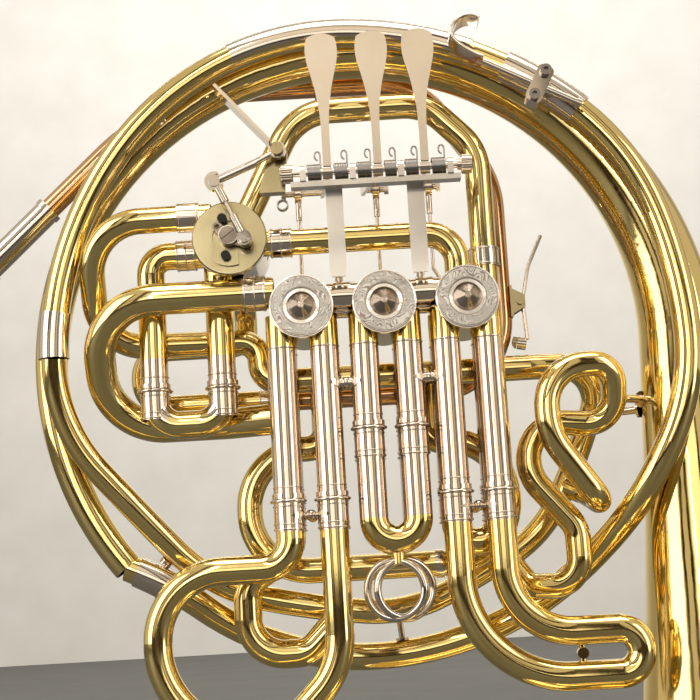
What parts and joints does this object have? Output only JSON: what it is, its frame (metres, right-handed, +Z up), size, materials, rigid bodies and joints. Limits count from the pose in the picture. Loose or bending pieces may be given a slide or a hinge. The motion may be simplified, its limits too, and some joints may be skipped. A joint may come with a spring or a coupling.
{
  "type": "french horn",
  "caption": "Double French horn with rotary valves, lever linkages, pull-out tuning slides, a wound conical tail and a wide flared bell.",
  "frame": {"origin": "centre of the bell rim, on the plane the rim rests on", "axes": "+Z up the bell's axis from the rim, +X from the valves towards the bell, +Y towards the back of the horn, away from the finger levers"},
  "size_m": [0.5005, 0.3026, 0.4963],
  "materials": {
    "yellow_brass": "clear-lacquered, polished",
    "rose_brass": "clear-lacquered, polished",
    "nickel_silver": "polished nickel silver",
    "gold_brass": "brushed",
    "spring_steel": "bright wire",
    "black_cork": "matt"
  },
  "bodies": {
    "horn": {"bell_flare": "yellow_brass", "bell_rim_bead": "nickel_silver", "bell_tail": "yellow_brass", "outer_branch": "yellow_brass", "inner_branch": "yellow_brass", "leadpipe": "rose_brass", "mouthpiece_receiver": "nickel_silver", "hand_guard": "nickel_silver", "hook_clamp": "nickel_silver", "clamp_screws": "spring_steel", "lever_rack": "nickel_silver", "lever_axle": "nickel_silver", "paddle_springs": "spring_steel", "valve_casings": "yellow_brass", "valve_caps": "nickel_silver", "bearing_plates": "nickel_silver", "cork_plates": "nickel_silver", "corks": "black_cork", "change_casing": "nickel_silver", "change_disc": "gold_brass", "change_cork_plate": "gold_brass", "change_bracket": "gold_brass", "change_spring": "spring_steel", "arch_tube": "yellow_brass", "crossover_tube": "yellow_brass", "upper_left_tube": "yellow_brass", "elbow_tube": "yellow_brass", "front_main_tube": "yellow_brass", "slide_sleeves": "nickel_silver", "valve_knuckles": "nickel_silver", "tube_ferrules": "nickel_silver", "tube_braces": "nickel_silver", "oval_branch": "yellow_brass", "right_bow_front": "yellow_brass", "right_bow_rear": "yellow_brass", "tuning_return": "yellow_brass", "water_key_saddle": "gold_brass"},
    "rotor_1_body": {"rotor_1": "nickel_silver"},
    "rotor_2_body": {"rotor_2": "nickel_silver"},
    "rotor_3_body": {"rotor_3": "nickel_silver"},
    "paddle_1_body": {"paddle_1": "nickel_silver"},
    "paddle_2_body": {"paddle_2": "nickel_silver"},
    "paddle_3_body": {"paddle_3": "nickel_silver"},
    "link_1_body": {"link_1": "nickel_silver"},
    "link_2_body": {"link_2": "nickel_silver"},
    "link_3_body": {"link_3": "nickel_silver"},
    "change_rotor_body": {"change_rotor": "nickel_silver"},
    "change_lever_body": {"change_lever": "nickel_silver"},
    "change_link_body": {"change_link": "nickel_silver"},
    "water_key_body": {"water_key": "nickel_silver"},
    "finger_hook_body": {"finger_hook": "nickel_silver"},
    "first_slide_front_body": {"first_slide_front": "yellow_brass"},
    "first_slide_rear_body": {"first_slide_rear": "yellow_brass"},
    "second_slide_front_body": {"second_slide_front": "yellow_brass"},
    "second_slide_rear_body": {"second_slide_rear": "yellow_brass"},
    "third_slide_front_body": {"third_slide_front": "yellow_brass"},
    "third_slide_rear_body": {"third_slide_rear": "yellow_brass"},
    "left_slide_body": {"left_slide": "yellow_brass"},
    "tuning_slide_body": {"tuning_slide": "yellow_brass"}
  },
  "joints": [
    {"name": "rotor_1_turn", "type": "hinge", "parent": "horn", "child": "rotor_1_body", "pos_m": [-0.183, 0, 0.349], "axis": [0, -1, 0], "range_deg": [0, 90], "stiffness_Nm_per_rad": 0.004, "springref_deg": -85.94},
    {"name": "paddle_1_press", "type": "hinge", "parent": "horn", "child": "paddle_1_body", "pos_m": [-0.167, -0.048, 0.41], "axis": [-1, 0, 0], "range_deg": [0, 12.2]},
    {"name": "link_1_swing", "type": "hinge", "parent": "rotor_1_body", "child": "link_1_body", "pos_m": [-0.18936, 0.0125, 0.35536], "axis": [0, -1, 0], "range_deg": [-90, 0]},
    {"name": "rotor_2_turn", "type": "hinge", "parent": "horn", "child": "rotor_2_body", "pos_m": [-0.144, 0, 0.349], "axis": [0, -1, 0], "range_deg": [0, 90], "stiffness_Nm_per_rad": 0.004, "springref_deg": -85.94},
    {"name": "paddle_2_press", "type": "hinge", "parent": "horn", "child": "paddle_2_body", "pos_m": [-0.1434, -0.048, 0.41], "axis": [-1, 0, 0], "range_deg": [0, 12.2]},
    {"name": "link_2_swing", "type": "hinge", "parent": "rotor_2_body", "child": "link_2_body", "pos_m": [-0.15036, 0.0125, 0.35536], "axis": [0, -1, 0], "range_deg": [-90, 0]},
    {"name": "rotor_3_turn", "type": "hinge", "parent": "horn", "child": "rotor_3_body", "pos_m": [-0.105, 0, 0.349], "axis": [0, -1, 0], "range_deg": [0, 90], "stiffness_Nm_per_rad": 0.004, "springref_deg": -85.94},
    {"name": "paddle_3_press", "type": "hinge", "parent": "horn", "child": "paddle_3_body", "pos_m": [-0.1214, -0.048, 0.41], "axis": [-1, 0, 0], "range_deg": [0, 12.2]},
    {"name": "link_3_swing", "type": "hinge", "parent": "rotor_3_body", "child": "link_3_body", "pos_m": [-0.11136, 0.0125, 0.35536], "axis": [0, -1, 0], "range_deg": [-90, 0]},
    {"name": "change_rotor_turn", "type": "hinge", "parent": "horn", "child": "change_rotor_body", "pos_m": [-0.215, 0, 0.383], "axis": [0, -1, 0], "range_deg": [0, 90], "stiffness_Nm_per_rad": 0.004, "springref_deg": -85.94},
    {"name": "change_lever_press", "type": "hinge", "parent": "horn", "child": "change_lever_body", "pos_m": [-0.19, -0.0496, 0.4215], "axis": [0, 1, 0], "range_deg": [0, 20.6]},
    {"name": "change_link_swing", "type": "hinge", "parent": "change_lever_body", "child": "change_link_body", "pos_m": [-0.22, -0.0496, 0.408], "axis": [0, -1, 0], "range_deg": [0, 20.6]},
    {"name": "water_key_press", "type": "hinge", "parent": "horn", "child": "water_key_body", "pos_m": [-0.0746, 0.018, 0.355], "axis": [0, -1, 0], "range_deg": [0, 20], "stiffness_Nm_per_rad": 0.01, "springref_deg": -34.38},
    {"name": "finger_hook_slide", "type": "slide", "parent": "horn", "child": "finger_hook_body", "axis": [0.8838, 0, -0.4679], "range_m": [-0.006, 0.006]},
    {"name": "first_slide_front_pull", "type": "slide", "parent": "horn", "child": "first_slide_front_body", "axis": [0, 0, -1], "range_m": [0, 0.03]},
    {"name": "first_slide_rear_pull", "type": "slide", "parent": "horn", "child": "first_slide_rear_body", "axis": [0, 0, -1], "range_m": [0, 0.03]},
    {"name": "second_slide_front_pull", "type": "slide", "parent": "horn", "child": "second_slide_front_body", "axis": [0, 0, -1], "range_m": [0, 0.025]},
    {"name": "second_slide_rear_pull", "type": "slide", "parent": "horn", "child": "second_slide_rear_body", "axis": [0, 0, -1], "range_m": [0, 0.025]},
    {"name": "third_slide_front_pull", "type": "slide", "parent": "horn", "child": "third_slide_front_body", "axis": [0, 0, -1], "range_m": [0, 0.03]},
    {"name": "third_slide_rear_pull", "type": "slide", "parent": "horn", "child": "third_slide_rear_body", "axis": [0, 0, -1], "range_m": [0, 0.009]},
    {"name": "left_slide_pull", "type": "slide", "parent": "horn", "child": "left_slide_body", "axis": [0, 0, -1], "range_m": [0, 0.01]},
    {"name": "tuning_slide_pull", "type": "slide", "parent": "horn", "child": "tuning_slide_body", "axis": [-1, 0, 0], "range_m": [0, 0.008]}
  ],
  "couplings": [
    {"joint": "paddle_1_press", "follows": "rotor_1_turn", "ratio": 0.13444},
    {"joint": "link_1_swing", "follows": "rotor_1_turn", "ratio": -1},
    {"joint": "paddle_2_press", "follows": "rotor_2_turn", "ratio": 0.13444},
    {"joint": "link_2_swing", "follows": "rotor_2_turn", "ratio": -1},
    {"joint": "paddle_3_press", "follows": "rotor_3_turn", "ratio": 0.13444},
    {"joint": "link_3_swing", "follows": "rotor_3_turn", "ratio": -1},
    {"joint": "change_lever_press", "follows": "change_rotor_turn", "ratio": 0.2267},
    {"joint": "change_link_swing", "follows": "change_rotor_turn", "ratio": 0.2267}
  ]
}
